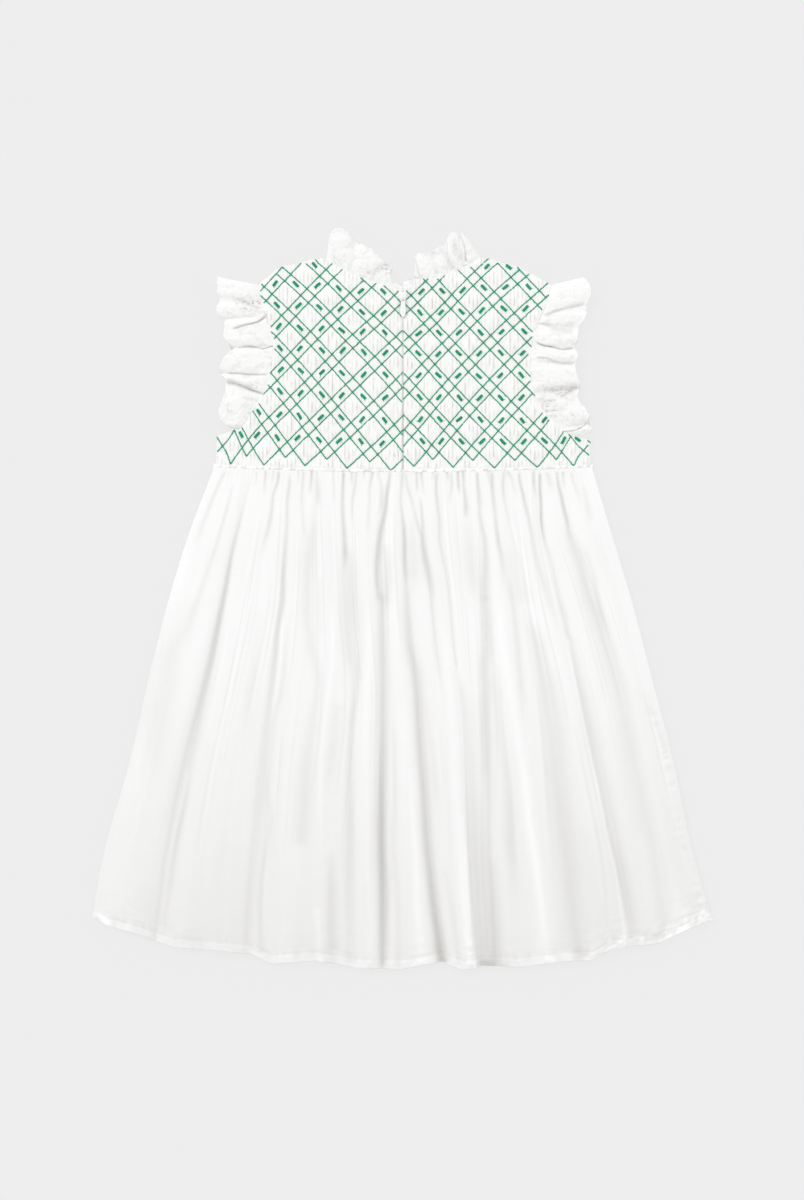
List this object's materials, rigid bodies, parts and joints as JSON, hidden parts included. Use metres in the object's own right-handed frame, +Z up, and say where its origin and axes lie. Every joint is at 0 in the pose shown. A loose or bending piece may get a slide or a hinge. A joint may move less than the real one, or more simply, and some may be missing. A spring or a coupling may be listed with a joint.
{
  "type": "toddler dress",
  "caption": "Sleeveless toddler dress laid flat, back up: smocked bodice with centre-back zip, frilled neck and armholes, gathered skirt; the zip's pull tab swings.",
  "frame": {"origin": "middle of the dress's bounding box, on the surface that it lies on", "axes": "+Y from the hem to the neck, +Z up out of the surface, +X to the right of the back as it is seen from above"},
  "size_m": [0.4478, 0.5332, 0.0092],
  "materials": {
    "smocked_cloth": "white pleated cotton with green smocking thread",
    "skirt_voile": "white sheer cotton voile",
    "frill_voile": "white textured cotton frill",
    "zip_tape": "woven tape with a closed coil",
    "zip_slider": "white enamel",
    "zip_pull": "white enamel"
  },
  "bodies": {
    "dress": {"back_bodice_left": "smocked_cloth", "back_bodice_right": "smocked_cloth", "front_bodice": "smocked_cloth", "back_skirt": "skirt_voile", "front_skirt": "skirt_voile", "neck_frill": "frill_voile", "armhole_frill_left": "frill_voile", "armhole_frill_right": "frill_voile", "zip_tape": "zip_tape", "zip_slider": "zip_slider"},
    "zip_pull": {"zip_pull": "zip_pull"}
  },
  "joints": [
    {"name": "pull_tab_swing", "type": "hinge", "parent": "dress", "child": "zip_pull", "pos_m": [0, 0.216, 0.0071], "axis": [-1, 0, 0], "range_deg": [0, 170]}
  ]
}
